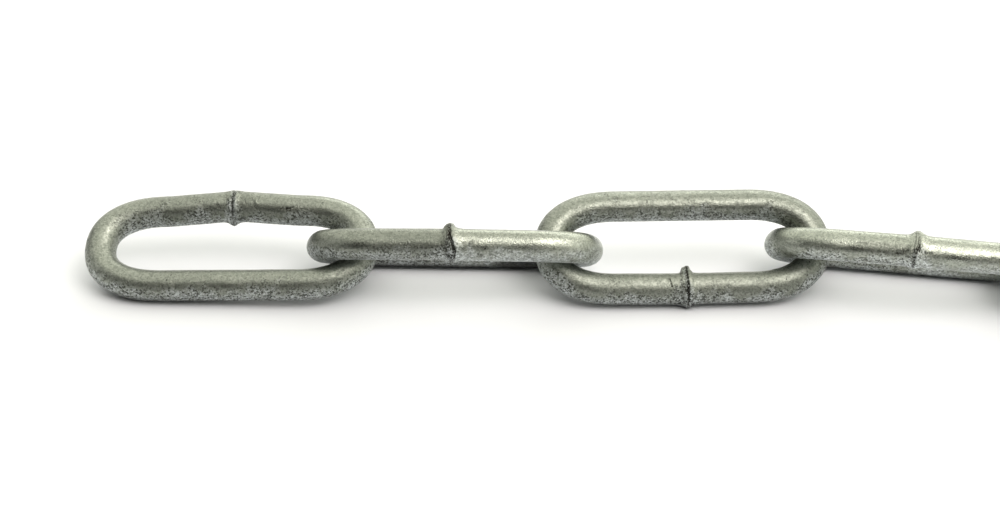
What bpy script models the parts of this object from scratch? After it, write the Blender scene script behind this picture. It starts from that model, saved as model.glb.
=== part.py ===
"""A half-metre length of hot-dip galvanised long-link steel chain, laid out on a level floor.

Metres, +Z up, floor at z = 0, the run of the chain along +X. Every link is a round bar bent
into a long loop and butt-welded in the middle of one leg. Neighbouring links lean opposite
ways, each with one leg on the floor and its other leg raised.
"""

from math import cos, pi, radians, sin

import bmesh
import bpy
from mathutils import Matrix, Vector

LINK_COUNT = 16

# The bar is 4 mm wire with its zinc coat, and the loop is measured over the outside.
BAR = 0.0042
LINK_LENGTH = 0.0400
LINK_WIDTH = 0.0160

# Each bow is half a superellipse: fuller at the crown than an ellipse, longer than a semicircle.
BOW_REACH = 0.0089
BOW_EXPONENT = 2.3
BOW_SEGMENTS = 9
BAR_SIDES = 16

# The welded leg is bent slightly outwards to its weld, which carries a ring of flash.
WELD_BOW = 0.0008
WELD_RING = 0.00025
WELD_HALF_LENGTH = 0.0012

# How the chain lies: the lean of a link, and the play between crowns. The first link leans less
# and is pitched up onto the second, and the first three head away from the line of the rest.
LEAN = radians(36.5)
PLAY = 0.0004
END_LINK_LEAN = radians(26.5)
END_LINK_PITCH = radians(2)
END_LINK_PLAY = 0.0013
STRAY_HEADINGS = {1: radians(6.8), 2: radians(7.8), 3: radians(10.8)}

# One link lies on its welded leg: it leans further and hangs with more play, and on that leg the
# bend and the ring are flatter.
WELD_DOWN_LINK = 3
WELD_DOWN_LEAN = radians(39)
WELD_DOWN_PLAY = 0.0009
WELD_DOWN_BOW = 0.0001
WELD_DOWN_RING = 0.0001

CENTRE_WIDTH = LINK_WIDTH - BAR
CENTRE_LENGTH = LINK_LENGTH - BAR
BOW_START = CENTRE_LENGTH / 2 - BOW_REACH


def clear_scene():
    for obj in list(bpy.data.objects):
        bpy.data.objects.remove(obj, do_unlink=True)


def galvanised_steel():
    material = bpy.data.materials.new("galvanised_steel")
    material.use_nodes = True
    shader = material.node_tree.nodes["Principled BSDF"]
    shader.inputs["Base Color"].default_value = (0.42, 0.43, 0.40, 1)
    shader.inputs["Metallic"].default_value = 0.85
    shader.inputs["Roughness"].default_value = 0.48
    return material


def bow_points():
    """The right-hand bow from one leg to the other, as (along, across) from the link's middle.

    The number of segments is odd, so the crown is a short straight with its middle on the axis,
    and the reach is measured to that straight.
    """
    power = 2 / BOW_EXPONENT
    crown = cos(pi / 2 / BOW_SEGMENTS) ** power
    points = []
    for step in range(BOW_SEGMENTS + 1):
        turn = -pi / 2 + pi * step / BOW_SEGMENTS
        along = BOW_START + BOW_REACH * abs(cos(turn)) ** power / crown
        across = CENTRE_WIDTH / 2 * abs(sin(turn)) ** power
        points.append((along, across if turn > 0 else -across))
    points[0] = (BOW_START, -CENTRE_WIDTH / 2)
    points[-1] = (BOW_START, CENTRE_WIDTH / 2)
    return points


def centre_line(weld_down):
    """The closed centre-line as (along, across, bar radius), its weld on the raised or the lower leg."""
    bow = bow_points()
    bend, ring = (WELD_DOWN_BOW, WELD_DOWN_RING) if weld_down else (WELD_BOW, WELD_RING)
    reach = CENTRE_WIDTH / 2 + bend
    slope = bend / BOW_START
    foot = reach - slope * WELD_HALF_LENGTH
    weld = [
        (WELD_HALF_LENGTH, foot, BAR / 2),
        (0.0, reach, BAR / 2 + ring),
        (-WELD_HALF_LENGTH, foot, BAR / 2),
    ]
    right = [(along, across, BAR / 2) for along, across in bow]
    left = [(-along, -across, BAR / 2) for along, across in bow]
    if weld_down:
        return right + left + [(-along, -across, radius) for along, across, radius in weld]
    return right + weld + left


def bar_section(centre, ahead, behind, radius, phase):
    """A ring of points round the bar, in the plane that halves the bend, its flats on the radius."""
    incoming = (centre - behind).normalized()
    outgoing = (ahead - centre).normalized()
    tangent = (incoming + outgoing).normalized()
    outward = Vector((tangent.y, -tangent.x, 0))
    mitre = 1 / incoming.dot(tangent)
    corner = radius / cos(pi / BAR_SIDES)
    ring = []
    for side in range(BAR_SIDES):
        angle = phase + 2 * pi * side / BAR_SIDES
        ring.append(centre + outward * (corner * mitre * cos(angle)) + Vector((0, 0, corner * sin(angle))))
    return ring


def link_mesh(name, lean, hand, weld_down, play):
    """A link flat in its own XY plane, its raised leg at +Y.

    The origin is the middle of the crown bar that it hangs on. The bar's flats are turned so
    that one of them faces the floor once the link leans.
    """
    line = centre_line(weld_down)
    crown = BAR + play
    phase = -hand * (pi / 2 - lean) + pi / BAR_SIDES
    places = [Vector((along + CENTRE_LENGTH / 2 - crown, across, 0)) for along, across, radius in line]
    bm = bmesh.new()
    rings = []
    for index, place in enumerate(places):
        ahead = places[(index + 1) % len(places)]
        section = bar_section(place, ahead, places[index - 1], line[index][2], phase)
        rings.append([bm.verts.new(point) for point in section])
    for index, ring in enumerate(rings):
        following = rings[(index + 1) % len(rings)]
        for side in range(BAR_SIDES):
            beside = (side + 1) % BAR_SIDES
            bm.faces.new((ring[side], ring[beside], following[beside], following[side]))
    bmesh.ops.recalc_face_normals(bm, faces=bm.faces)
    mesh = bpy.data.meshes.new(name)
    bm.to_mesh(mesh)
    bm.free()
    mesh.shade_smooth()
    return mesh


def link_lean(number):
    return {1: END_LINK_LEAN, WELD_DOWN_LINK: WELD_DOWN_LEAN}.get(number, LEAN)


def rest_height(mesh, turned):
    """How far a turned link is raised for its lowest point to be on the floor."""
    return -min((turned @ vertex.co).z for vertex in mesh.vertices)


def set_parent(child, parent, parent_world):
    child.parent = parent
    child.matrix_parent_inverse = parent_world.inverted()


def build_chain(material):
    """Lays the links end to end; each turns with an empty at the crown that carries it."""
    meshes = {}
    links = []
    crown_place = Vector((0, 0, 0))
    carrier, carrier_world = None, None
    for number in range(1, LINK_COUNT + 1):
        weld_down = number == WELD_DOWN_LINK
        lean = link_lean(number)
        play = {2: END_LINK_PLAY, WELD_DOWN_LINK: WELD_DOWN_PLAY}.get(number, PLAY)
        hand = 1 if number % 2 else -1
        heading = STRAY_HEADINGS.get(number, 0.0)
        kind = (lean, hand, weld_down, play)
        if kind not in meshes:
            meshes[kind] = link_mesh(f"link_{number:02d}", lean, hand, weld_down, play)

        tilt = lean if hand > 0 else pi - lean
        pitch = END_LINK_PITCH if number == 1 else 0.0
        turned = Matrix.Rotation(heading, 4, "Z") @ Matrix.Rotation(-pitch, 4, "Y")
        turned = turned @ Matrix.Rotation(tilt, 4, "X")
        height = rest_height(meshes[kind], turned)
        link_place = Vector((crown_place.x, crown_place.y, height))
        pivot_world = Matrix.Translation(crown_place) @ turned
        link_world = Matrix.Translation(link_place) @ turned

        pivot = bpy.data.objects.new(f"swing_{number:02d}", None)
        pivot.empty_display_size = BAR
        bpy.context.scene.collection.objects.link(pivot)
        pivot.matrix_basis = pivot_world
        if carrier:
            set_parent(pivot, carrier, carrier_world)

        link = bpy.data.objects.new(f"link_{number:02d}", meshes[kind])
        link.data.materials.clear()
        link.data.materials.append(material)
        bpy.context.scene.collection.objects.link(link)
        link.matrix_basis = link_world
        set_parent(link, pivot, pivot_world)
        links.append((link, link_world))

        carrier, carrier_world = link, link_world
        along = CENTRE_LENGTH - BAR - play
        crown_place = link_world @ Vector((along, 0, 0))
    return links


def centre_on_origin(links):
    """Moves the chain so that the middle of its footprint is over the origin."""
    points = [world @ vertex.co for link, world in links for vertex in link.data.vertices]
    middle = [(min(p[k] for p in points) + max(p[k] for p in points)) / 2 for k in (0, 1)]
    first = bpy.data.objects["swing_01"]
    first.matrix_basis = Matrix.Translation((-middle[0], -middle[1], 0)) @ first.matrix_basis


clear_scene()
chain = build_chain(galvanised_steel())
centre_on_origin(chain)
bpy.context.view_layer.update()
print(f"{len(chain)} links laid")
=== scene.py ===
# %% [markdown]
# # Half a metre of galvanised long-link chain
#
# A chain link is one steel bar bent into a loop and welded shut. Dipped in molten zinc, it comes
# out grey, grainy and a little lumpy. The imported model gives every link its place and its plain
# round bar. Here each link gets its real surface: a bar that wanders a little, flash at the weld,
# runs and pimples of zinc, and a finish that is dull on one stretch and bright on the next.
#
# Everything stands in metres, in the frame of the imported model.

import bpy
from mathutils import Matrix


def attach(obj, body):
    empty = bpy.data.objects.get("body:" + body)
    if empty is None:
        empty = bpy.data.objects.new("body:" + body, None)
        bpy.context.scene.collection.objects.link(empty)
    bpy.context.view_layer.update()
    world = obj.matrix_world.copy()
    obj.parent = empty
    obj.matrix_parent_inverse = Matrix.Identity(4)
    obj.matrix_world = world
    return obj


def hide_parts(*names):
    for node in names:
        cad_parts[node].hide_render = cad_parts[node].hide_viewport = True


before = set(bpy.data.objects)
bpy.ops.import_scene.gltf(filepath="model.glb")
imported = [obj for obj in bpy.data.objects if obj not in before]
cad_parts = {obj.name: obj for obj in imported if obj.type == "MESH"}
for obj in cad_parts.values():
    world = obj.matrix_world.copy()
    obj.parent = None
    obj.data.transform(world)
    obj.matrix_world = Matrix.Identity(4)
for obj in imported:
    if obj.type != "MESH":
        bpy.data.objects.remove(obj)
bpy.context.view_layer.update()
LINKS = sorted(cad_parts)
# The links in the picture
SHOWN = LINKS[:4]

# %% Tools and measures
from math import cos, pi, radians, sin
from types import SimpleNamespace

import bpy
import numpy as np
from mathutils import Quaternion, Vector

MM = 0.001
BAR = 4.2 * MM
LINK_WIDTH = 16.0 * MM
LINK_LENGTH = 40.0 * MM
# The middle of the bar runs half a bar inside the outline
HALF_WIDTH = (LINK_WIDTH - BAR) / 2
HALF_LENGTH = (LINK_LENGTH - BAR) / 2
BOW_REACH = 8.9 * MM
BOW_EXPONENT = 2.3
LEG_HALF = HALF_LENGTH - BOW_REACH
print("a leg is straight for", round(2 * LEG_HALF / MM, 1), "mm")

# %% [markdown]
# ## Where each link lies
#
# In a chain that is laid down, every other link leans the other way, and each has one leg on the
# floor and one raised. Their places could be typed in again as angles. Reading them from the solids
# is safer, because the looks then follow the model wherever it lies: a link is long, narrower
# across, and thin square to its plane, so the spread of its corner points shows its directions.

# %% The directions of a link
def link_frame(node):
    """Middle, along, across and normal of a link's solid.

    The covariance of its corners has its largest axis along the link and its smallest square to
    the link's plane. The mean is right along the link. Across, the weld pulls it aside, so there
    the mean of the two crowns is taken. Across points to the raised leg.
    """
    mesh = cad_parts[node].data
    corners = np.empty(3 * len(mesh.vertices))
    mesh.vertices.foreach_get("co", corners)
    corners = np.unique(corners.reshape(-1, 3).round(7), axis=0)
    mean = corners.mean(0)
    _, axes = np.linalg.eigh(np.cov((corners - mean).T))
    normal, across, along = axes.T
    along = along * np.sign(along[0])
    across = across * np.sign(across[2])
    normal = np.cross(along, across)
    reach = (corners - mean) @ along
    crowns = (corners - mean)[np.abs(reach) > np.abs(reach).max() - BAR / 2]
    return mean + across * (crowns @ across).mean(), along, across, normal


PLACES = {node: link_frame(node) for node in LINKS}
for node in SHOWN:
    middle, along, across, normal = PLACES[node]
    heading = np.degrees(np.arctan2(along[1], along[0]))
    lean = np.degrees(np.arcsin(across[2]))
    print(node, "middle", (middle / MM).round(2), "heading", heading.round(1), "lean", lean.round(1))

# %% [markdown]
# ## The bar's route
#
# The bar could be a curve object with a round bevel, but then its surface could not be worked on
# point by point. So the route is a formula: two straight legs and two bows. Each bow is half a
# superellipse, which is squarer than an ellipse, as bars bent round a former are. The welded leg
# stands a little outwards, because the two ends met at an angle when they were pressed together.

# %% Points along a curve
DENSE = 4000


def bell(x, width, power=2):
    """exp(-(distance / width) to a power, which is 2 unless given)."""
    return np.exp(-np.abs(x / width) ** power)


def by_length(points, count):
    """Points of a closed polyline at equal steps of arc length, and its whole length."""
    closed = np.vstack([points, points[:1]])
    run = np.concatenate([[0], np.cumsum(np.linalg.norm(np.diff(closed, axis=0), axis=1))])
    even = np.linspace(0, run[-1], count, endpoint=False)
    return np.stack([np.interp(even, run, closed[:, k]) for k in (0, 1)], 1), run[-1]


print("a route is worked out with", DENSE, "points")

# %% The centre-line
SMOOTHING = 0.5 * MM
WELD_BOW = 0.8 * MM
WELD_DOWN_BOW = 0.1 * MM
WELD_DOWN_LINK = "link_03"


def centre_line(side):
    """The closed route in the link's plane, as along and across, against the clock.

    Bow: along = leg + reach * cos(t) ** (2 / n), across = half width * sin(t) ** (2 / n).
    Leg: across = half width, plus bend * (1 - |along| / leg) on the welded leg, which is the
    raised one where side is 1 and the lower one where it is -1. A Gaussian filter along the
    route rounds the kinks: each wave number is multiplied by exp(-(2 pi k * smoothing) ** 2 / 2).
    """
    turn = np.linspace(-pi / 2, pi / 2, DENSE // 4)
    power = 2 / BOW_EXPONENT
    bow = np.stack([
        LEG_HALF + BOW_REACH * np.abs(np.cos(turn)) ** power,
        HALF_WIDTH * np.sign(turn) * np.abs(np.sin(turn)) ** power,
    ], 1)
    walk = np.linspace(LEG_HALF, -LEG_HALF, DENSE // 4)[1:-1]
    bend = 1 - np.abs(walk) / LEG_HALF
    raised = np.stack([walk, HALF_WIDTH + WELD_BOW * bend * (side > 0)], 1)
    lower = np.stack([-walk, -HALF_WIDTH - WELD_DOWN_BOW * bend * (side < 0)], 1)
    line, length = by_length(np.concatenate([bow, raised, -bow, lower]), DENSE)
    wave_numbers = np.fft.fftfreq(DENSE, length / DENSE)[:, None]
    kept = bell(wave_numbers * 2 * pi * SMOOTHING, 2 ** 0.5)
    return np.fft.ifft(np.fft.fft(line, axis=0) * kept, axis=0).real, length


print("the bar is", round(centre_line(1)[1] / MM, 1), "mm long between its ends")

# %% [markdown]
# ## Waves of zinc
#
# Zinc sets with slow swells, small lumps and grit, never quite even. Blender's own noise textures
# could move the points, but they don't close on themselves round the bar and round the link. Noise
# made in Fourier space does that for free: white noise keeps only waves of about one length, and
# the Fourier grid repeats at its edges.

# %% Seamless noise on the surface
WAVE_BAND = 0.55
# Length of the waves in mm, and a seed of its own, for each noise on a link
NOISES = {
    "swells": (7, 1),
    "ripples": (2.2, 2),
    "lumps": (0.9, 3),
    "runs": (3.2, 4),
    "pimples": (1.1, 5),
    "grit": (0.42, 6),
    "coarse patches": (6, 7),
    "coarse spots": (2, 8),
    "pits": (0.55, 9),
    "mark ends": (0.5, 10),
    "mark sides": (0.6, 11),
    "seam": (0.7, 12),
    "weld grit": (0.5, 13),
    "patchy soot": (0.4, 14),
}


def waves(shape, cell, length, seed):
    """Random waves of about the given length on a grid that closes both ways, with deviation 1.

    White noise is multiplied in Fourier space by exp(-((k * length - 1) / band) squared), where
    k is the wave number, and then divided by its standard deviation.
    """
    white = np.random.default_rng(seed).standard_normal(shape)
    k = np.hypot(np.fft.fftfreq(shape[0], cell[0])[:, None], np.fft.fftfreq(shape[1], cell[1]))
    field = np.fft.ifft2(np.fft.fft2(white) * bell(k * length - 1, WAVE_BAND)).real
    return field / field.std()


lengths = [length for length, _ in NOISES.values()]
print(len(NOISES), "noises, with waves of", min(lengths), "to", max(lengths), "mm")

# %% [markdown]
# ## The weld
#
# The bar's ends are heated and pressed together, so hot metal swells out as flash. Each link got
# its own: a low ring with a crease in it, painted dark as painted shade, and here and there a stub,
# a lip or a drip. A bump map could draw it, but the flash shows on the outline, so it has to be
# shape. The ring is a bell curve in the distance from the seam. A stub is one bell along the bar
# times another round it; with a higher power the bell gets a flat top and steep sides.

# %% The flash
CREASE_WIDTH = 0.14 * MM
RING_SHIFT = 0.45 * MM
RING_WIDTH = 0.5 * MM
FLARE_LEFT = 0.25 * MM
FLARE_RIGHT = 0.95 * MM


def turned_bell(angle, centre, sharpness):
    """A bell round the bar: exp(sharpness * (cos(angle - centre) - 1)), the centre in degrees."""
    return np.exp(sharpness * (np.cos(angle - radians(centre)) - 1))


def seam_line(angle, weld):
    """Where the seam lies along the leg: a middle, one wave round the bar and one double wave."""
    once = weld["slant"] * np.cos(angle - radians(weld["slant_at"]))
    twice = weld["wobble"] * np.cos(2 * (angle - radians(weld["wobble_at"])))
    return MM * (weld["at"] + once + twice)


def crease_line(off, angle, weld):
    """1 in the middle of the crease, fading with the distance to the seam and round the bar."""
    return bell(off, CREASE_WIDTH) * turned_bell(angle, weld["crease_at"], weld["crease_end"])


def flash(off, angle, weld):
    """Height of the flash, from the distance to the seam and the angle round the bar.

    Ring left of the seam + flare, steep on its left and long on its right + stubs - crease.
    """
    height = weld["ring"] * MM * bell(off + RING_SHIFT, RING_WIDTH)
    flare = np.where(off > 0, bell(off, FLARE_RIGHT), bell(off, FLARE_LEFT))
    height = height + weld["flare"] * MM * flare
    for centre, sharpness, tall, shift, width, power in weld["stubs"]:
        stub = turned_bell(angle, centre, sharpness)
        height = height + tall * MM * stub * bell(off - shift * MM, width * MM, power)
    return height - weld["crease"] * MM * crease_line(off, angle, weld)


print("the crease at a seam is", round(2 * CREASE_WIDTH / MM, 2), "mm wide")

# %% The welds that the picture shows
# Angles are in degrees round the bar from its outer side, and lengths in mm. On links 1 and 3 the
# 90 degree side faces the camera, and on links 2 and 4 the 0 degree side does, with the -90 degree
# side on top. The seam's middle is at, its waves are slant and wobble, and ring, flare and crease
# are heights. The crease is deepest at crease_at and shallower round the bar from there, the
# faster the greater crease_end is. Hook is how far the flash leans to the left for its height,
# and black how dark the crease is painted, painted shade in it. A stub is its angle, sharpness,
# height, shift from the seam, half width and power.
WELDS = {
    "link_01": dict(
        at=-0.10, slant=0.05, slant_at=0, wobble=0.03, wobble_at=40, ring=0.05, flare=0.06,
        crease=0.14, crease_at=105, crease_end=1.6, hook=0.0, black=1.1,
        stubs=[
            (195, 7, 0.62, -0.12, 0.88, 2),
            (174, 14, 0.26, 1.05, 0.3, 2),
            (104, 3.5, 0.3, 0.48, 0.3, 2),
            (118, 8, 0.16, -0.42, 0.16, 2),
            (38, 12, 0.05, -0.22, 0.3, 4),
        ],
    ),
    "link_02": dict(
        at=-0.30, slant=0.36, slant_at=-1, wobble=0.32, wobble_at=54, ring=0.12, flare=0.28,
        crease=0.28, crease_at=-10, crease_end=1.0, hook=0.2, black=1.1,
        stubs=[
            (-95, 3.2, 0.54, -0.22, 0.64, 4),
            (70, 5, 0.08, -0.3, 0.5, 2),
        ],
    ),
    "link_03": dict(
        at=0.20, slant=0.08, slant_at=20, wobble=0.02, wobble_at=0, ring=0.08, flare=0.22,
        crease=0.10, crease_at=60, crease_end=1.4, hook=0.0, black=1.1,
        stubs=[
            (162, 12, 0.70, -0.29, 0.38, 6),
            (162, 12, 0.64, 0.24, 0.22, 4),
            (158, 10, 0.36, 0.55, 0.26, 2),
            (-8, 6, 0.3, 0.0, 0.9, 1.6),
            (95, 3, 0.16, 0.35, 0.5, 2),
        ],
    ),
    "link_04": dict(
        at=-0.33, slant=0.25, slant_at=-50, wobble=0.0, wobble_at=0, ring=0.12, flare=0.25,
        crease=0.20, crease_at=-28, crease_end=3.0, hook=0.1, black=0.5,
        stubs=[
            (-88, 4, 0.36, -0.1, 0.75, 2),
            (5, 14, 0.16, -0.2, 0.3, 2),
            (12, 12, 0.14, -0.75, 0.22, 2),
            (35, 9, 0.14, 0.1, 0.25, 2),
            (-35, 5, 0.14, -0.22, 0.14, 2),
        ],
    ),
}
print("welds set by eye:", sorted(WELDS))

# %% The other welds
STUBS_EACH = 2


def any_weld(seed):
    """A weld like the others, drawn by chance, for the links that the picture leaves out."""
    pick = np.random.default_rng(seed).uniform
    stubs = [
        (pick(-180, 180), pick(3, 9), pick(0.25, 0.7), pick(-0.4, 0.4), pick(0.3, 0.8), pick(1.6, 4))
        for _ in range(STUBS_EACH)
    ]
    return dict(
        at=pick(-0.3, 0.3), slant=pick(0, 0.25), slant_at=pick(0, 360),
        wobble=pick(0, 0.2), wobble_at=pick(0, 180), ring=pick(0.05, 0.15), flare=pick(0.08, 0.24),
        crease=pick(0.16, 0.3), crease_at=pick(0, 360), crease_end=pick(0.6, 2),
        hook=pick(0, 0.3), black=1.0, stubs=stubs,
    )


print("welds drawn by chance:", len(LINKS) - len(WELDS))

# %% [markdown]
# ## Marks
#
# Besides its weld each link has a few marks of its own: cracks, bright scratches, scale and
# pits. They could be painted on an image, but these materials use none. Each is a straight stroke
# on the unrolled skin instead, with a height, some darkness or some polish. In dents and cracks
# the darkness is painted shade, as on a long band along link 4's leg, and elsewhere it is a dark
# spot.

# %% Strokes on the skin
# Keeps a dot, whose start and end agree, from dividing by zero
DOT = 1e-12


def stroke(x, angle, start, end, width):
    """1 on a straight stroke over the unrolled skin, fading out beside it.

    The skin is unrolled to (along, radius * angle), both from the stroke's start. What is left of
    a point after taking away its part along the stroke, held between the two ends, is its distance.
    """
    turn = (angle - radians(start[1]) + pi) % (2 * pi) - pi
    point = np.stack(np.broadcast_arrays(x - start[0] * MM, BAR / 2 * turn))
    way = np.array([(end[0] - start[0]) * MM, BAR / 2 * radians(end[1] - start[1])])
    share = np.clip(np.tensordot(way, point, 1) / max(way @ way, DOT), 0, 1)
    return bell(np.hypot(point[0] - share * way[0], point[1] - share * way[1]), width * MM)


# Start and end as (mm along the leg, degrees round the bar), half width and height in mm, and
# how much darkness and polish the mark brings; the darkness is painted shade in dents and cracks
MARKS = {
    "link_01": [
        ((-0.68, 95), (-0.62, 150), 0.12, -0.07, 0.6, 0), ((-0.11, 70), (-0.11, 150), 0.10, 0, 0.3, 0),
        ((-0.35, 34), (-0.15, 44), 0.14, 0, 0.6, 0), ((-0.2, 190), (0.1, 175), 0.5, 0, 0.25, 0),
        ((1.1, 178), (1.1, 172), 0.25, 0, 0.6, 0), ((0.5, 135), (0.5, 80), 0.22, 0, 0, 0.6),
        ((0.3, 122), (0.7, 108), 0.07, -0.04, 0.4, 0), ((0.25, 100), (0.6, 88), 0.07, -0.04, 0.4, 0),
        ((2.4, 50), (2.9, 66), 0.12, 0.04, 0, 0.8), ((2.75, 75), (3.45, 112), 0.13, 0.05, 0, 0.8),
        ((2.5, 85), (3.1, 118), 0.10, -0.04, 0.5, 0), ((-2.2, 98), (-1.9, 112), 0.13, 0.03, 0, 0.7),
        ((-2.6, 112), (-1.9, 122), 0.10, -0.03, 0.5, 0), ((7.3, 121), (8.2, 113), 0.18, -0.06, 0.9, 0),
        ((6.4, 124), (6.9, 118), 0.14, -0.04, 0.7, 0), ((-4.0, 126), (-3.2, 122), 0.14, -0.03, 0.5, 0),
        ((3.0, 117), (8.8, 121), 0.30, 0, 0.25, 0),
    ],
    "link_02": [
        ((-0.5, 44), (-0.15, 50), 0.30, -0.08, 1, 0), ((-0.5, -70), (-0.45, 25), 0.36, 0, 0.45, 0),
        ((-0.2, 60), (-0.1, 84), 0.25, 0, 0.4, 0), ((-0.3, -50), (-0.25, -18), 0.15, -0.04, 1, 0),
        ((-0.1, -8), (0.2, 24), 0.13, -0.04, 1, 0), ((0.22, 30), (0.1, 50), 0.12, -0.04, 0.8, 0),
        ((0.45, -40), (0.9, -12), 0.40, 0, 0, 0.8), ((3.2, 40), (3.9, 46), 0.2, -0.03, 0.6, 0),
        ((-3.4, 44), (-2.9, 40), 0.2, -0.03, 0.6, 0), ((1.2, -3), (2.6, -4), 0.07, -0.03, 0.6, 0),
    ],
    "link_03": [
        ((0.25, 165), (0.18, 120), 0.11, -0.06, 1, 0), ((0.18, 120), (0.16, 70), 0.12, -0.06, 0.9, 0),
        ((0.2, 72), (0.36, 24), 0.13, -0.08, 1, 0), ((0.3, 34), (-0.8, 9), 0.10, -0.04, 0.8, 0),
        ((0.35, 32), (0.95, 6), 0.11, -0.05, 0.9, 0), ((-0.8, 9), (-0.8, 7), 0.16, -0.05, 1, 0),
        ((0.93, 8), (0.93, 4), 0.2, -0.05, 1, 0), ((-0.62, 168), (-0.6, 132), 0.12, 0, 0.8, 0),
        ((0.85, 104), (0.85, 72), 0.42, 0, 0, 1), ((-0.3, 175), (-0.28, 160), 0.14, 0, 0, 0.9),
        ((-0.2, 52), (-0.1, 34), 0.14, 0.04, 0, 0.8), ((-0.5, 90), (-0.4, 45), 0.4, 0, 0.3, 0),
        ((3.06, 81), (3.06, 81), 0.13, -0.05, 1, 0), ((4.1, 84), (4.1, 84), 0.1, -0.03, 0.8, 0),
        ((-3.54, 92), (-2.8, 111), 0.12, 0.04, 0, 0.8), ((-2.2, 117), (-1.95, 80), 0.10, -0.05, 0.9, 0),
        ((-2.0, 118), (-1.72, 84), 0.10, 0.05, 0, 0.6),
    ],
    "link_04": [
        ((-0.12, -10), (-0.1, 4), 0.24, -0.12, 1, 0), ((-0.55, 5), (-0.1, 9), 0.14, -0.05, 0.9, 0),
        ((-1.9, 9), (-1.2, 6), 0.13, -0.03, 0.8, 0), ((-1.2, 5), (-0.6, -6), 0.1, 0.05, 0, 0.6),
        ((-0.35, 18), (-0.5, 72), 0.13, -0.06, 0.8, 0), ((-0.7, 25), (-0.6, 70), 0.2, 0, 0.3, 0),
        # The long flat stroke from -7.5 to -0.9 mm here is painted shade: a dark band along the front
        # of link 4's leg
        ((0.45, -40), (1.1, -14), 0.48, 0, 0, 1), ((-7.5, -9), (-0.9, -7), 0.28, 0, 0.32, 0),
        ((-2.8, 16), (-2.2, 18), 0.12, -0.03, 0.7, 0), ((0.5, 6), (1.4, 10), 0.14, -0.03, 0.7, 0),
    ],
}
print(sum(map(len, MARKS.values())), "marks on", len(MARKS), "links")

# %% [markdown]
# ## How the links differ
#
# Links of one chain come out of the bath and off the pile unlike each other: one is brighter, one
# rougher, and on some the bar is a little fuller on one side of its leg, which moves its highlight.
# The bar is also painted darker where it lies on the floor, a painted contact shadow, and its bows
# are painted brighter, a painted highlight. Sixteen materials could say so, but each change to the
# coat would then be made sixteen times. One table of looks is enough, because the skin turns it
# into shape and masks, and one material reads the masks.

# %% The looks of the links
# Pairs are for the left and the right of the weld, except that dull is for the lower and the
# raised leg. Tone is the brightness of the zinc, and bows how much brighter than that the two
# bows are painted, a painted highlight for the light they catch. Shoulder is in mm, by how much
# the raised leg is fuller below its front and flatter above it. Dull takes gloss away. Grit makes
# the coat coarser, and polish brightens the right half. The shade at the floor is a painted
# contact shadow: how dark the bar is painted where it lies on the floor. The value after it says
# where that painted shade reaches higher: how much, the middle of that stretch and its half width,
# in mm along the link.
ANY_LOOK = dict(
    tone=(1.0, 1.0), bows=(1.05, 1.05), shoulder=(0.05, 0.05), dull=(0.3, 0.15),
    grit=0.0, polish=0.0, floor_shade=0.75, high_floor_shade=(0.0, 0.0, 1.0),
)
LOOKS = {
    "link_01": dict(
        tone=(0.82, 0.83), bows=(1.15, 1.1), shoulder=(0.0, 0.0), dull=(0.4, 0.3), grit=0.03,
    ),
    "link_02": dict(
        tone=(0.73, 0.90), bows=(1.12, 1.2), shoulder=(0.13, 0.035), dull=(0.0, 0.0),
        polish=0.4, floor_shade=0.95, high_floor_shade=(4.0, 10.0, 4.2),
    ),
    "link_03": dict(
        tone=(0.86, 0.82), bows=(1.05, 1.0), shoulder=(0.14, 0.13), dull=(1.0, 0.1),
        grit=0.03, floor_shade=0.5,
    ),
    "link_04": dict(
        tone=(1.07, 1.11), shoulder=(0.12, 0.12), dull=(0.0, 0.0),
        grit=-0.08, polish=0.3, floor_shade=0.45,
    ),
}


def between(pair, share):
    """The first of two values where share is 0, the second where it is 1."""
    return pair[0] + (pair[1] - pair[0]) * share


print("looks set by eye:", sorted(LOOKS), "and one for all others")

# %% [markdown]
# ## The skin of a link
#
# A round bar on its route is a surface of two parameters: how far along the route, and the angle
# round the bar. A sculpted mesh or a displacement modifier could give it relief too, but on this
# grid each effect is one short formula. The radius is the bar's own plus all the relief, so lumps,
# flash and creases are real shape and show on the outline.

# %% The grid of one link
FINE_GRID = (700, 84)
PLAIN_GRID = (400, 52)
WELD_REACH = 3.0 * MM
WELD_DENSITY = 1.2


def ring_places(line, rings, side):
    """Where the rings stand on the route: even steps, but up to 2.2 times as close at the weld.

    The steps are the inverse of the running sum of 1 + density * bell(distance to the weld).
    """
    near = np.where(line[:, 1] * side > 0, np.abs(line[:, 0]), HALF_LENGTH)
    weight = np.cumsum(1 + WELD_DENSITY * bell(near, WELD_REACH))
    pick = np.interp(np.arange(rings) * weight[-1] / rings, weight - weight[0], np.arange(DENSE))
    closed = np.vstack([line, line[:1]])
    return np.stack([np.interp(pick, np.arange(DENSE + 1), closed[:, k]) for k in (0, 1)], 1)


print("rings and sides:", FINE_GRID, "on the links in the picture,", PLAIN_GRID, "on the others")

# %% The bare bar
HALVES_MEET = 0.6 * MM
SEED_STEP = 100


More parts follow.
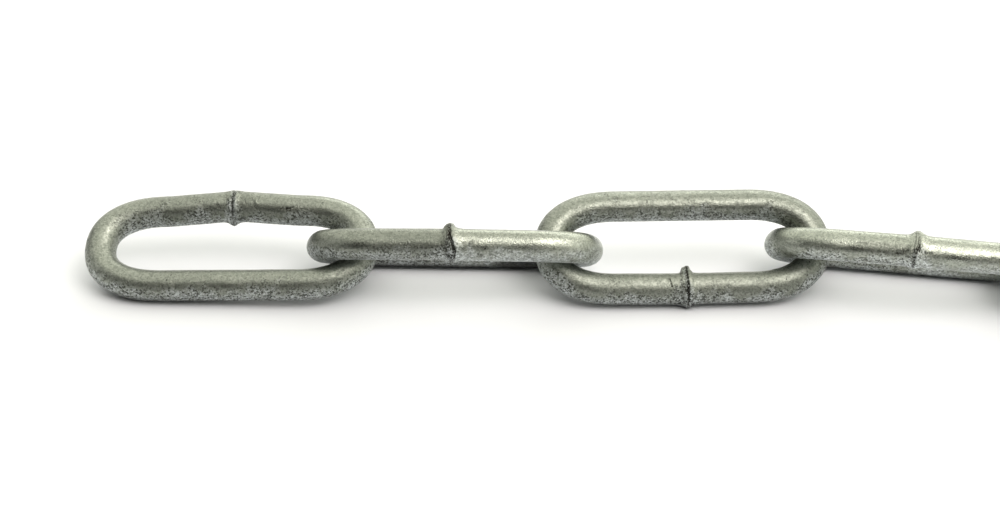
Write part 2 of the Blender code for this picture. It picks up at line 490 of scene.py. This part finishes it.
def bare_bar(node, number, size, side):
    """The grid of one link's bar, and what its relief and its masks are worked out from.

    A point of the bar is its centre + radius * around, and around is cos(angle) * outward +
    sin(angle) * normal. x runs along the link, and leg is x on the welded leg alone, and far off
    elsewhere. High is 0 on the lower leg and 1 on the raised one, and right is 0 left of the
    weld and 1 right of it.
    """
    line, length = centre_line(side)
    route = ring_places(line, size[0], side)
    x, y = route[:, :1], route[:, 1:]
    ahead = np.roll(route, -1, 0) - np.roll(route, 1, 0)
    ahead /= np.linalg.norm(ahead, axis=1)[:, None]
    angle = np.arange(size[1]) * 2 * pi / size[1]
    cell = (length / size[0], pi * BAR / size[1])

    middle, along, across, normal = PLACES[node]
    outward = ahead[:, 1:] * along - ahead[:, :1] * across
    turned = np.cos(angle)[None, :, None] * outward[:, None]
    around = turned + np.sin(angle)[None, :, None] * normal

    def noise(name):
        """One of the noises over this grid, with this link's own seed."""
        wave_length, seed = NOISES[name]
        return waves(size, cell, wave_length * MM, SEED_STEP * number + seed)

    return SimpleNamespace(
        angle=angle, along=along, around=around, centre=middle + x * along + y * across, x=x,
        leg=np.where((y * side > 0) & (np.abs(x) < LEG_HALF), x, HALF_LENGTH),
        high=np.clip(0.5 + 0.5 * y / HALF_WIDTH, 0, 1),
        right=0.5 + 0.5 * np.tanh(x / HALVES_MEET), noise=noise,
    )


trial = bare_bar(LINKS[0], 1, PLAIN_GRID, 1)
print("the middle of the first link's bar rises to", (trial.centre[:, 2].max() / MM).round(2), "mm")

# %% [markdown]
# ## The coat's relief
#
# Zinc runs off a link while it cools. The side that faces up ends smooth, and the side that faces
# down keeps a coarse, gritty crust. One mask says how coarse the coat is, mostly from the way the
# surface faces, and the heights of the finer noises grow with it. Runs, pimples and pits are the
# tallest peaks of three more noises, so that they are few and far between. The pits are painted
# dark as well, painted shade in them.

# %% Lumps, runs and pits
COARSE_MEAN = 0.60
COARSE_BELOW = 0.48
COARSE_PATCHES = 0.09
COARSE_SPOTS = 0.055
# Height in mm on the smooth coat, and what is added to it on the coarse coat
COAT_HEIGHTS = {
    "swells": (0.005, 0),
    "ripples": (0.0010, 0),
    "lumps": (0.0006, 0.0024),
    "grit": (0.0002, 0.0022),
}
# The peaks above so many deviations count, with so many mm for each further deviation
PEAKS = {"runs": (2.1, 0.04), "pimples": (2.6, 0.03), "pits": (2.7, -0.05)}
# How dark the pits are painted for each deviation beyond their peak, painted shade in them
PIT_SHADE = 1.3


def zinc_relief(bar, look):
    """How coarse the coat is, its relief in mm, and the painted shade in its pits.

    Coarse = mean + grit - slope * how far the surface faces up + two noises, held to 0 to 1.
    Relief = noises times (smooth height + coarse * extra height) + peaks of three more noises.
    """
    coarse = COARSE_MEAN + look["grit"] - COARSE_BELOW * bar.around[..., 2]
    coarse = coarse + COARSE_PATCHES * bar.noise("coarse patches")
    coarse = np.clip(coarse + COARSE_SPOTS * bar.noise("coarse spots"), 0, 1)
    relief = 0
    for name, (smooth, extra) in COAT_HEIGHTS.items():
        relief = relief + (smooth + extra * coarse) * bar.noise(name)
    peaks = {name: np.maximum(bar.noise(name) - least, 0) for name, (least, _) in PEAKS.items()}
    for name, (_, rise) in PEAKS.items():
        relief = relief + rise * peaks[name]
    return coarse, relief, PIT_SHADE * peaks["pits"]


trial_relief = zinc_relief(trial, ANY_LOOK)[1]
print("zinc stands", trial_relief.min().round(3), "to", trial_relief.max().round(3), "mm proud")

# %% The shoulder of the raised leg
SHOULDER_TURN = 35
SHOULDER_SHARPNESS = 6


def shoulder(bar, look, front):
    """How far the raised leg stands out or in, in mm, because its bar isn't quite round.

    A bell below the side that faces the camera, less the same bell above it. Front is that side,
    in degrees round the bar.
    """
    fuller = turned_bell(bar.angle, front + SHOULDER_TURN, SHOULDER_SHARPNESS)
    flatter = turned_bell(bar.angle, front - SHOULDER_TURN, SHOULDER_SHARPNESS)
    return between(look["shoulder"], bar.right) * (fuller - flatter) * bar.high ** 2


trial_shoulder = shoulder(trial, ANY_LOOK, 90)
print("a leg is fuller by", trial_shoulder.max().round(3), "mm at most")

# %% The weld on its leg
WELD_SPAN = 4 * MM
SEAM_WANDER = 0.03 * MM
ROUGH_WIDTH = 1.0 * MM


def weld_relief(bar, weld):
    """Height of the flash, how rough the metal is beside the seam, and the painted shade in the crease.
    """
    off = bar.leg - seam_line(bar.angle, weld) + SEAM_WANDER * bar.noise("seam")
    near = bell(bar.leg, WELD_SPAN, power=6)
    height = flash(off, bar.angle, weld) * near
    return height, bell(off, ROUGH_WIDTH), weld["black"] * crease_line(off, bar.angle, weld) * near


trial_flash = weld_relief(trial, WELDS[LINKS[0]])[0]
print("the first link's flash stands", (trial_flash.max() / MM).round(2), "mm high")

# %% The marks on their leg
MARK_WANDER = 0.05 * MM
MARK_TURN = 0.04


def marks_relief(bar, marks, patchy, relief, shade_and_spots, polish):
    """Relief, darkness and polish with a link's marks added, each stroke a little ragged; the darkness
    is painted shade in dents and cracks.
    """
    x = bar.leg + MARK_WANDER * bar.noise("mark ends")
    angle = bar.angle + MARK_TURN * bar.noise("mark sides")
    for start, end, width, rise, black, shine in marks:
        mark = stroke(x, angle, start, end, width)
        relief = relief + rise * mark
        shade_and_spots = shade_and_spots + black * mark * patchy
        polish = polish + shine * mark
    return relief, shade_and_spots, polish


print("marks wander by about", round(MARK_WANDER / MM, 2), "mm")

# %% [markdown]
# ## Tone and painted floor shade
#
# The coat is brighter on some stretches than on others, and where the bar lies on the floor it is
# painted darker, a painted contact shadow. The painted shade could be a ramp on the height above
# the floor in the material, but then a link would change as it swings up. It is worked out once,
# where the chain lies, and goes with the link as one more factor of its brightness. The bows are
# painted brighter in the same factor, a painted highlight.

# %% Brightness along a link
# The painted contact shadow reaches this high above the floor
FLOOR_SHADE_TOP = 1.3 * MM
# The gain of a bow, a painted highlight, sets in at the first of these shares of its reach, and is full
# at the second
BOW_FADE = (0.2, 13 / 15)


def floor_shade(bar, look):
    """1 at the floor, falling evenly to 0 at the top of the painted contact shadow."""
    above = bar.centre[:, None, 2] + BAR / 2 * bar.around[..., 2]
    taller, at, half = look["high_floor_shade"]
    top = FLOOR_SHADE_TOP + taller * MM * bell(bar.x - at * MM, half * MM, power=4)
    return np.clip(1 - above / top, 0, 1)


def bow_gain(beyond, gain):
    """1 on the legs, rising to the gain round the bow, a painted highlight, from the distance beyond
    the leg's end.
    """
    return 1 + (gain - 1) * np.interp(beyond / BOW_REACH, BOW_FADE, (0, 1))


def brightness(bar, look):
    """Tone = tone of the half * painted highlight gain of the bow * (1 - painted floor shade * square
    root of its height mask).
    """
    left, right = look["bows"]
    bows = bow_gain(-bar.x - LEG_HALF, left) * bow_gain(bar.x - LEG_HALF, right)
    # One less the painted contact shadow at the floor
    unshaded = 1 - look["floor_shade"] * np.sqrt(floor_shade(bar, look))
    return between(look["tone"], bar.right) * bows * unshaded


trial_tone = brightness(trial, ANY_LOOK)
print("brightness goes from", trial_tone.min().round(2), "to", trial_tone.max().round(2))

# %% [markdown]
# ## From formulas to a mesh
#
# The relief, the weld and the marks come together in one radius for each point of the grid. The
# points could be pushed about in an existing mesh, but it is simpler to make the mesh from them:
# each cell of the grid becomes a four-sided face, the last ring joins the first, and every mask is
# kept as a value on the points, where the material can read it.

# %% All of a link's skin
WELD_GRIT = 0.012
WELD_COARSE = 0.35
# The painted shade in creases and marks is patchy: its mean, spread and most
SHADE_AND_SPOTS_MEAN = 0.75
SHADE_AND_SPOTS_SPREAD = 0.7
SHADE_AND_SPOTS_MOST = 1.3


def link_skin(node, number, size, side):
    """Points of the grid and masks for the finish of one link.

    Point = centre + (bar radius + relief + flash) * around, with the flash leaning along the
    link, and nothing below the floor. The front is the 90 degree side on odd links, and the 0
    degree side on even ones, because they lean opposite ways.
    """
    bar = bare_bar(node, number, size, side)
    look = ANY_LOOK | LOOKS.get(node, {})
    weld = WELDS.get(node) or any_weld(number)
    coarse, relief, shade_and_spots = zinc_relief(bar, look)
    relief = relief + shoulder(bar, look, 90 if number % 2 else 0)
    height, rough, crease = weld_relief(bar, weld)
    relief = relief + WELD_GRIT * rough * bar.noise("weld grit")
    # The crease is painted dark: painted shade, patchy along the bar
    patchy = np.clip(SHADE_AND_SPOTS_MEAN + SHADE_AND_SPOTS_SPREAD * bar.noise("patchy soot"), 0, SHADE_AND_SPOTS_MOST)
    shade_and_spots = shade_and_spots + crease * patchy
    marks = MARKS.get(node, [])
    relief, shade_and_spots, polish = marks_relief(bar, marks, patchy, relief, shade_and_spots, np.zeros(size))

    radius = BAR / 2 + MM * relief + height
    lean = weld["hook"] * height
    points = bar.centre[:, None] + radius[..., None] * bar.around - lean[..., None] * bar.along
    points[..., 2] = np.maximum(points[..., 2], 0)
    masks = {
        "coarse": np.clip(coarse + WELD_COARSE * rough, 0, 1),
        # Painted shade in creases, pits, dents and cracks, and dark spots
        "shade_and_spots": np.clip(shade_and_spots, 0, 1),
        "polish": np.clip(polish + look["polish"] * bar.right, 0, 1),
        # The tone mask also carries the painted floor shade and the painted highlight of the bows
        "tone": brightness(bar, look),
        "dull": between(look["dull"], bar.high) * np.ones(size),
    }
    return points, masks


trial_points, trial_masks = link_skin(LINKS[0], 1, PLAIN_GRID, 1)
print("the first link's skin is", (trial_points[..., 2].max() / MM).round(2), "mm high")
print("its masks are", ", ".join(trial_masks))

# %% From a grid to a mesh
def grid_mesh(name, points, masks):
    """A mesh of a grid that closes both ways, facing out, with a value per point for each mask."""
    rings, sides = points.shape[:2]
    index = np.arange(rings * sides).reshape(rings, sides)
    after, beside = np.roll(index, -1, 0), np.roll(index, -1, 1)
    faces = np.stack([index, beside, np.roll(after, -1, 1), after], -1).reshape(-1, 4)
    mesh = bpy.data.meshes.new(name)
    mesh.vertices.add(index.size)
    mesh.vertices.foreach_set("co", points.astype(np.float32).ravel())
    mesh.loops.add(faces.size)
    mesh.loops.foreach_set("vertex_index", faces.astype(np.int32).ravel())
    mesh.polygons.add(len(faces))
    mesh.polygons.foreach_set("loop_start", np.arange(0, faces.size, 4, dtype=np.int32))
    mesh.update(calc_edges=True)
    mesh.shade_smooth()
    for mask, values in masks.items():
        attribute = mesh.attributes.new(mask, "FLOAT", "POINT")
        attribute.data.foreach_set("value", np.ascontiguousarray(values, np.float32).ravel())
    thing = bpy.data.objects.new(name, mesh)
    bpy.context.scene.collection.objects.link(thing)
    return thing


trial_faces = [rings * sides for rings, sides in (FINE_GRID, PLAIN_GRID)]
print("a skin has", trial_faces[0], "four-sided faces in the picture and", trial_faces[1], "elsewhere")

# %% [markdown]
# ## The finish
#
# Hot-dip zinc is a dull metal with a fine grain. Its grey varies in clouds of a few millimetres
# and in grains a fifth of a millimetre wide. Where the coat is coarse it carries a pale bloom of
# zinc salts with dark and white grains in it; since the coarse coat faces down, that pale bluish
# bloom is partly a painted reflection of the white floor. The pits, cracks and creases are painted
# dark, painted shade in them. A photograph of zinc could be wrapped on, but noise on Object
# coordinates has no seams, needs no unwrapping and stays on a link as it swings. The coat is a node
# group that puts out colours and values, and the shader stays in the material.

# %% Node helpers
def socket(group, name, kind, way, value=None):
    """An input or output of a node group, with its value where nothing is plugged in."""
    made = group.interface.new_socket(name=name, in_out=way, socket_type=kind)
    if value is not None:
        made.default_value = value
    return made


def add(tree, kind, **settings):
    """A new node with its properties set."""
    node = tree.nodes.new(kind)
    for key, value in settings.items():
        setattr(node, key, value)
    return node


def spread(tree, value, low, high, to_low=0.0, to_high=1.0):
    """Maps low..high of a value onto to_low..to_high, held at both ends."""
    node = add(tree, "ShaderNodeMapRange", clamp=True)
    ends = {"From Min": low, "From Max": high, "To Min": to_low, "To Max": to_high}
    for name, number in ends.items():
        node.inputs[name].default_value = number
    tree.links.new(value, node.inputs["Value"])
    return node.outputs["Result"]


def calc(tree, operation, first, second):
    """One operation on two terms, each a number or another node's output."""
    node = add(tree, "ShaderNodeMath", operation=operation)
    for place, term in enumerate((first, second)):
        if isinstance(term, (int, float)):
            node.inputs[place].default_value = term
        else:
            tree.links.new(term, node.inputs[place])
    return node.outputs[0]


def total(tree, first, *others):
    """The sum of all terms, where a pair counts as the product of its two."""
    result = calc(tree, "MULTIPLY", *first) if isinstance(first, tuple) else first
    for term in others:
        term = calc(tree, "MULTIPLY", *term) if isinstance(term, tuple) else term
        result = calc(tree, "ADD", result, term)
    return result


print("made helpers for sockets, nodes, ranges and sums")

# %% Patterns and mixes
def noise_pattern(tree, vector, scale, detail, roughness):
    """Clouds of 0 to 1, the smaller the greater the scale."""
    node = add(tree, "ShaderNodeTexNoise", noise_dimensions="3D")
    node.inputs["Scale"].default_value = scale
    node.inputs["Detail"].default_value = detail
    node.inputs["Roughness"].default_value = roughness
    tree.links.new(vector, node.inputs["Vector"])
    return node.outputs["Fac"]


def grain_pattern(tree, vector, scale):
    """A random value from 0 to 1 in each small grain of zinc."""
    node = add(tree, "ShaderNodeTexVoronoi", feature="F1")
    node.inputs["Scale"].default_value = scale
    tree.links.new(vector, node.inputs["Vector"])
    split = add(tree, "ShaderNodeSeparateColor")
    tree.links.new(node.outputs["Color"], split.inputs["Color"])
    return split.outputs["Red"]


def mix_color(tree, factor, first, second):
    """The first colour where the factor is 0, the second where it is 1."""
    node = add(tree, "ShaderNodeMix", data_type="RGBA")
    for name, term in (("Factor", factor), ("A", first), ("B", second)):
        place = [spot for spot in node.inputs if spot.name == name and spot.enabled][0]
        if isinstance(term, bpy.types.NodeSocket):
            tree.links.new(term, place)
        else:
            place.default_value = term
    return [spot for spot in node.outputs if spot.enabled][0]


print("made patterns for clouds and grains, and a mix of two colours")

# %% The patterns of the coat
CLOUDS = dict(scale=160, detail=3, roughness=0.55)
MOTTLE = dict(scale=1100, detail=3, roughness=0.65)
FINE_BUMPS = dict(scale=5200, detail=2, roughness=0.7)
BROAD_BUMPS = dict(scale=2400, detail=2, roughness=0.6)
GRAIN_SCALE = 5200
SPECK_SCALE = 4300
# Where noise counts as 0 and as 1
NOISE_ENDS = (0.3, 0.7)


def coat_patterns(group, place):
    """All patterns of the coat, worked out on the link's own coordinates, in metres."""
    return SimpleNamespace(
        clouds=spread(group, noise_pattern(group, place, **CLOUDS), *NOISE_ENDS),
        mottle=spread(group, noise_pattern(group, place, **MOTTLE), *NOISE_ENDS),
        grains=grain_pattern(group, place, GRAIN_SCALE),
        specks=grain_pattern(group, place, SPECK_SCALE),
        fine_bumps=noise_pattern(group, place, **FINE_BUMPS),
        broad_bumps=noise_pattern(group, place, **BROAD_BUMPS),
    )


print("a grain is about", round(1000 / GRAIN_SCALE, 2), "mm wide")

# %% The colour of the coat
DULL_ZINC = (0.172, 0.187, 0.160, 1)
BRIGHT_ZINC = (0.388, 0.406, 0.355, 1)
# Pale and bluish: a zinc bloom on the down-facing coarse coat, and in part a painted reflection of the
# white floor there
BLOOM_AND_REFLECTION = (0.55, 0.59, 0.60, 1)
WHITE_GRAIN = (0.78, 0.82, 0.83, 1)
DARK_GRAIN = (0.055, 0.057, 0.048, 1)
# Near black, for painted shade in creases, pits and cracks, and for dark spots
SHADE_AND_SPOTS = (0.016, 0.015, 0.012, 1)
# What each pattern adds to the tone, which goes from dull zinc at 0 to bright zinc at 1
TONE_LEAST = 0.045
CLOUD_TONE = 0.20
MOTTLE_TONE = 0.11
GRAIN_TONE = 0.60
POLISH_TONE = 0.35
# How much of the colour below it the bloom, a white grain and a dark grain hide; the bloom is partly a
# painted reflection of the floor
BLOOM_AND_REFLECTION_SHARE = 0.45
WHITE_SHARE = 0.75
DARK_SHARE = 0.85
# The coarseness at which the bloom and its painted floor reflection start and are full, and the grains
# that turn white or dark
BLOOM_AND_REFLECTION_ENDS = (0.45, 0.95)
WHITE_ENDS = (0.58, 0.84)
DARK_SPECK_ENDS = (0.26, 0.10)
DARK_GRAIN_ENDS = (0.25, 0.09)
# Dark grains by coarseness, from a few on the smooth coat to all, and by polish, which rubs them off
GRITTY_ENDS = (0.30, 0.60, 0.14, 1.0)
RUBBED_ENDS = (0.0, 0.6, 1.0, 0.25)


def coat_color(group, masks, shade_and_spots, pattern):
    """The coat's colour, and the tone, bloom and dark grains that its gloss and height need too.

    Smooth coat: dull to bright zinc by clouds, mottle, grains and polish. Over it come a pale
    bloom, partly a painted reflection of the floor, and white grains where the coat is coarse, dark
    grains, fewer where it is smooth or polished, the brightness of the place with its painted floor
    shade and painted bow highlight, and the painted shade and dark spots.
    """
    coarse, polish = masks["Coarse"], masks["Polish"]
    tone = total(
        group, (pattern.clouds, CLOUD_TONE), (pattern.mottle, MOTTLE_TONE),
        (pattern.grains, GRAIN_TONE), TONE_LEAST, (polish, POLISH_TONE),
    )
    color = mix_color(group, tone, DULL_ZINC, BRIGHT_ZINC)
    # Pale bloom where the coat is coarse, which faces down: partly a painted reflection of the white
    # floor
    bloom_and_reflection = spread(group, coarse, *BLOOM_AND_REFLECTION_ENDS)
    color = mix_color(group, calc(group, "MULTIPLY", bloom_and_reflection, BLOOM_AND_REFLECTION_SHARE), color, BLOOM_AND_REFLECTION)
    white = calc(group, "MULTIPLY", spread(group, pattern.grains, *WHITE_ENDS), bloom_and_reflection)
    color = mix_color(group, calc(group, "MULTIPLY", white, WHITE_SHARE), color, WHITE_GRAIN)
    rubbed = spread(group, polish, *RUBBED_ENDS)
    gritty = calc(group, "MULTIPLY", spread(group, coarse, *GRITTY_ENDS), rubbed)
    specks = calc(group, "MULTIPLY", spread(group, pattern.specks, *DARK_SPECK_ENDS), gritty)
    grains = calc(group, "MULTIPLY", spread(group, pattern.grains, *DARK_GRAIN_ENDS), gritty)
    dark = calc(group, "MAXIMUM", specks, grains)
    color = mix_color(group, calc(group, "MULTIPLY", dark, DARK_SHARE), color, DARK_GRAIN)
    # The colour is scaled by the tone of the place, which holds the painted floor shade and painted bow
    # highlight
    placed = add(group, "ShaderNodeVectorMath", operation="SCALE")
    group.links.new(color, placed.inputs[0])
    group.links.new(masks["Tone"], placed.inputs["Scale"])
    return mix_color(group, shade_and_spots, placed.outputs["Vector"], SHADE_AND_SPOTS), tone, bloom_and_reflection, dark


print("zinc goes from", DULL_ZINC[:3], "to", BRIGHT_ZINC[:3])

# %% The zinc coat as a node group
# The masks that the skins carry, with their values where there is none
MASKS = {"Coarse": 0.0, "Shade_and_spots": 0.0, "Polish": 0.0, "Tone": 1.0, "Dull": 0.0}
# The painted shade and dark spots count in full from this much of their mask
SHADE_AND_SPOTS_ENDS = (0.0, 0.75)
# Roughness of the plain coat as its tone goes from dull to bright, and what each mask adds to it
CLEAN_ROUGH = (0.2, 0.8, 0.29, 0.23)
COARSE_ROUGH = 0.18
POLISH_ROUGH = -0.06
DULL_ROUGH = 0.12
SHADE_AND_SPOTS_ROUGH = 0.2
BLOOM_AND_REFLECTION_METAL = -0.30
# Height of the bumps by coarseness, and what a dark grain adds to it
FINE_BUMP_ENDS = (0.1, 0.9, 0.45, 1.6)
BROAD_BUMP_ENDS = (0.2, 0.9, 0.12, 1.1)
DARK_BUMP = -0.4


def zinc_coat_group():
    """Colour, roughness, metal and height of the coat from a place and its masks.

    Rough = 0.29 on dull zinc to 0.23 on bright, more where coarse, dull or painted dark, and less
    where polished. Metal = 1 less what the bloom, partly a painted floor reflection, hides. Height =
    fine and broad bumps, both taller where the coat is coarse, less the dark grains.
    """
    group = bpy.data.node_groups.new("zinc coat", "ShaderNodeTree")
    socket(group, "Vector", "NodeSocketVector", "INPUT")
    for name, value in MASKS.items():
        socket(group, name, "NodeSocketFloat", "INPUT", value)
    socket(group, "Color", "NodeSocketColor", "OUTPUT")
    for name in ("Roughness", "Metallic", "Height"):
        socket(group, name, "NodeSocketFloat", "OUTPUT")
    masks = add(group, "NodeGroupInput").outputs
    out = add(group, "NodeGroupOutput").inputs
    coarse = masks["Coarse"]
    # Painted shade in creases, pits and cracks, and dark spots
    shade_and_spots = spread(group, masks["Shade_and_spots"], *SHADE_AND_SPOTS_ENDS)
    pattern = coat_patterns(group, masks["Vector"])
    color, tone, bloom_and_reflection, dark = coat_color(group, masks, shade_and_spots, pattern)
    rough = total(
        group, spread(group, tone, *CLEAN_ROUGH), (coarse, COARSE_ROUGH),
        (masks["Polish"], POLISH_ROUGH), (masks["Dull"], DULL_ROUGH), (shade_and_spots, SHADE_AND_SPOTS_ROUGH),
    )
    metal = total(group, 1.0, (bloom_and_reflection, BLOOM_AND_REFLECTION_METAL))
    fine = calc(group, "MULTIPLY", pattern.fine_bumps, spread(group, coarse, *FINE_BUMP_ENDS))
    broad = calc(group, "MULTIPLY", pattern.broad_bumps, spread(group, coarse, *BROAD_BUMP_ENDS))
    height = total(group, fine, broad, (dark, DARK_BUMP))
    results = {"Color": color, "Roughness": rough, "Metallic": metal, "Height": height}
    for name, value in results.items():
        group.links.new(value, out[name])
    return group


ZINC = zinc_coat_group()
print("the zinc coat is a group of", len(ZINC.nodes), "nodes")

# %% The material of the links
BUMP_HEIGHT = 0.07 * MM


def galvanised(name):
    """The zinc coat on a Principled shader, with each mask read from the skin."""
    material = bpy.data.materials.new(name)
    material.use_nodes = True
    tree = material.node_tree
    shader = tree.nodes["Principled BSDF"]
    coat = add(tree, "ShaderNodeGroup", node_tree=ZINC)
    place = add(tree, "ShaderNodeTexCoord")
    bump = add(tree, "ShaderNodeBump")
    bump.inputs["Distance"].default_value = BUMP_HEIGHT
    bump.inputs["Strength"].default_value = 1.0
    tree.links.new(place.outputs["Object"], coat.inputs["Vector"])
    for mask in MASKS:
        painted = add(tree, "ShaderNodeAttribute", attribute_name=mask.lower())
        tree.links.new(painted.outputs["Fac"], coat.inputs[mask])
    tree.links.new(coat.outputs["Color"], shader.inputs["Base Color"])
    tree.links.new(coat.outputs["Roughness"], shader.inputs["Roughness"])
    tree.links.new(coat.outputs["Metallic"], shader.inputs["Metallic"])
    tree.links.new(coat.outputs["Height"], bump.inputs["Height"])
    tree.links.new(bump.outputs["Normal"], shader.inputs["Normal"])
    return material


GALVANISED = galvanised("galvanised_zinc")
print("one material for all links:", GALVANISED.name)

# %% [markdown]
# ## The links
#
# Every link of the real chain is a piece of its own, so each skin is one too. It rides on its
# link's body, stands for the plain solid, which is hidden, and takes the one galvanised material.

# %% Build the links
triangles = 0
for number, node in enumerate(LINKS, 1):
    size = FINE_GRID if node in SHOWN else PLAIN_GRID
    side = -1 if node == WELD_DOWN_LINK else 1
    points, masks = link_skin(node, number, size, side)
    piece = grid_mesh("skin_" + node, points, masks)
    piece.data.materials.append(GALVANISED)
    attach(piece, node)
    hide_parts(node)
    triangles += 2 * size[0] * size[1]
print(triangles, "triangles in", len(LINKS), "links")

# %% [markdown]
# ## The floor
#
# The chain lies on a plain white surface without a visible edge. A bent sheet could make a
# backdrop, but the camera looks down and sees only the floor, so one wide plane is enough. Its
# white is kept under full white, so that the soft shadows beside the links still show.

# %% A white floor
FLOOR_SIZE = 8.0
FLOOR_WHITE = (0.785, 0.795, 0.84, 1)
FLOOR_ROUGH = 0.6
FLOOR_GLOSS = 0.3


def plain(name, color, roughness, gloss):
    """A material of one colour with little gloss."""
    material = bpy.data.materials.new(name)
    material.use_nodes = True
    shader = material.node_tree.nodes["Principled BSDF"]
    shader.inputs["Base Color"].default_value = color
    shader.inputs["Roughness"].default_value = roughness
    shader.inputs["Specular IOR Level"].default_value = gloss
    return material


bpy.ops.mesh.primitive_plane_add(size=FLOOR_SIZE, location=(0, 0, 0))
floor = bpy.context.object
floor.name = "studio_floor"
floor.data.materials.append(plain("white_floor", FLOOR_WHITE, FLOOR_ROUGH, FLOOR_GLOSS))
print("the floor is", FLOOR_SIZE, "m wide")

# %% [markdown]
# ## The lights
#
# Each bar of the real chain has a broad soft highlight along its top, a darker side towards the
# camera, and a faint shine on that side. One big light would give the highlight and nothing else.
# Here a key light and a back light draw the tops, a card on the left gives the faint shine, and a
# sky that is bright above and behind and dark on the camera's side gives the bars their darker
# fronts. The card shows in gloss only, so it leaves the floor's shadows alone.

# %% Soft lights
TARGET = Vector((-196, -4, 4)) * MM


def direction(azimuth, elevation):
    """The unit vector towards a place. Azimuth 0 is the camera's side, 90 is the right."""
    a, e = radians(azimuth), radians(elevation)
    return Vector((sin(a) * cos(e), -cos(a) * cos(e), sin(e)))


def aim(thing, place, target):
    """Puts a light or a camera at a place and turns it to a target."""
    thing.location = place
    thing.rotation_mode = "QUATERNION"
    thing.rotation_quaternion = (Vector(target) - Vector(place)).to_track_quat("-Z", "Y")


def softbox(name, azimuth, elevation, distance, size, power, color):
    """A rectangle of light aimed at the links in the picture."""
    light = bpy.data.lights.new(name, "AREA")
    light.shape = "RECTANGLE"
    light.size, light.size_y = size
    light.energy = power
    light.color = color
    lamp = bpy.data.objects.new(name, light)
    bpy.context.scene.collection.objects.link(lamp)
    aim(lamp, TARGET + distance * direction(azimuth, elevation), TARGET)
    lamp.visible_camera = False
    print(name, "light from", azimuth, "degrees round and", elevation, "up,", power, "W")
    return lamp


softbox("key", 60, 61, distance=0.50, size=(0.36, 0.28), power=1.12, color=(1.07, 1.0, 0.97))
softbox("back", 172, 28, distance=0.70, size=(0.60, 0.22), power=0.85, color=(1.0, 1.0, 0.94))
card = softbox("card", -76, 25, distance=0.50, size=(0.45, 0.35), power=0.42, color=(1.0, 1.0, 0.94))
card.visible_diffuse = False

# %% Light from all round
BRIGHT_SIDE = Vector((0.42, 0.56, 0.63)).normalized()
SKY_COLOR = (1.0, 1.0, 0.89, 1)
SKY_DARK = 0.03
SKY_BRIGHT = 1.48
SKY_STEP = (-0.06, 0.40)


def studio_world():
    """Light from all round: bright overhead and behind the chain, dark on the camera's side.

    Strength = dark + (bright - dark) * soft step of the direction along the way to the bright side.
    """
    world = bpy.data.worlds.new("studio")
    bpy.context.scene.world = world
    world.use_nodes = True
    tree = world.node_tree
    shade = tree.nodes["Background"]
    way = add(tree, "ShaderNodeTexCoord")
    along_way = add(tree, "ShaderNodeVectorMath", operation="DOT_PRODUCT")
    along_way.inputs[1].default_value = BRIGHT_SIDE
    tree.links.new(way.outputs["Generated"], along_way.inputs[0])
    strength = spread(tree, along_way.outputs["Value"], *SKY_STEP, SKY_DARK, SKY_BRIGHT)
    strength.node.interpolation_type = "SMOOTHSTEP"
    shade.inputs["Color"].default_value = SKY_COLOR
    tree.links.new(strength, shade.inputs["Strength"])


studio_world()
print("the sky goes from", SKY_DARK, "to", SKY_BRIGHT)

# %% [markdown]
# ## The camera
#
# The picture was taken from a little to the right, looking down by about a third of a right angle.
# The camera could be moved by hand until the outlines agree. This one was fitted to them with the
# links' sizes given, so its odd values are measured ones. The colours are left as they come, because
# a film look would change the greys of the zinc.

# %% Camera and colours
CAMERA_AIM = Vector((-196.18, -4.37, 5.8)) * MM
CAMERA_HEADING = 8.78
CAMERA_ELEVATION = 32.39
CAMERA_DISTANCE = 260 * MM
CAMERA_ROLL = 0.24
LENS = 70.17
SENSOR = 36.0
camera_data = bpy.data.cameras.new("camera")
camera_data.sensor_width = SENSOR
camera_data.lens = LENS
camera_data.clip_start = 10 * MM
camera = bpy.data.objects.new("camera", camera_data)
bpy.context.scene.collection.objects.link(camera)
bpy.context.scene.camera = camera
back = direction(CAMERA_HEADING, CAMERA_ELEVATION)
aim(camera, CAMERA_AIM + CAMERA_DISTANCE * back, CAMERA_AIM)
roll = Quaternion((0, 0, 1), radians(CAMERA_ROLL))
camera.rotation_quaternion = camera.rotation_quaternion @ roll
view = bpy.context.scene.view_settings
view.view_transform = "Standard"
view.look = "None"
print("a", LENS, "mm lens,", round(CAMERA_DISTANCE / MM), "mm from the chain")
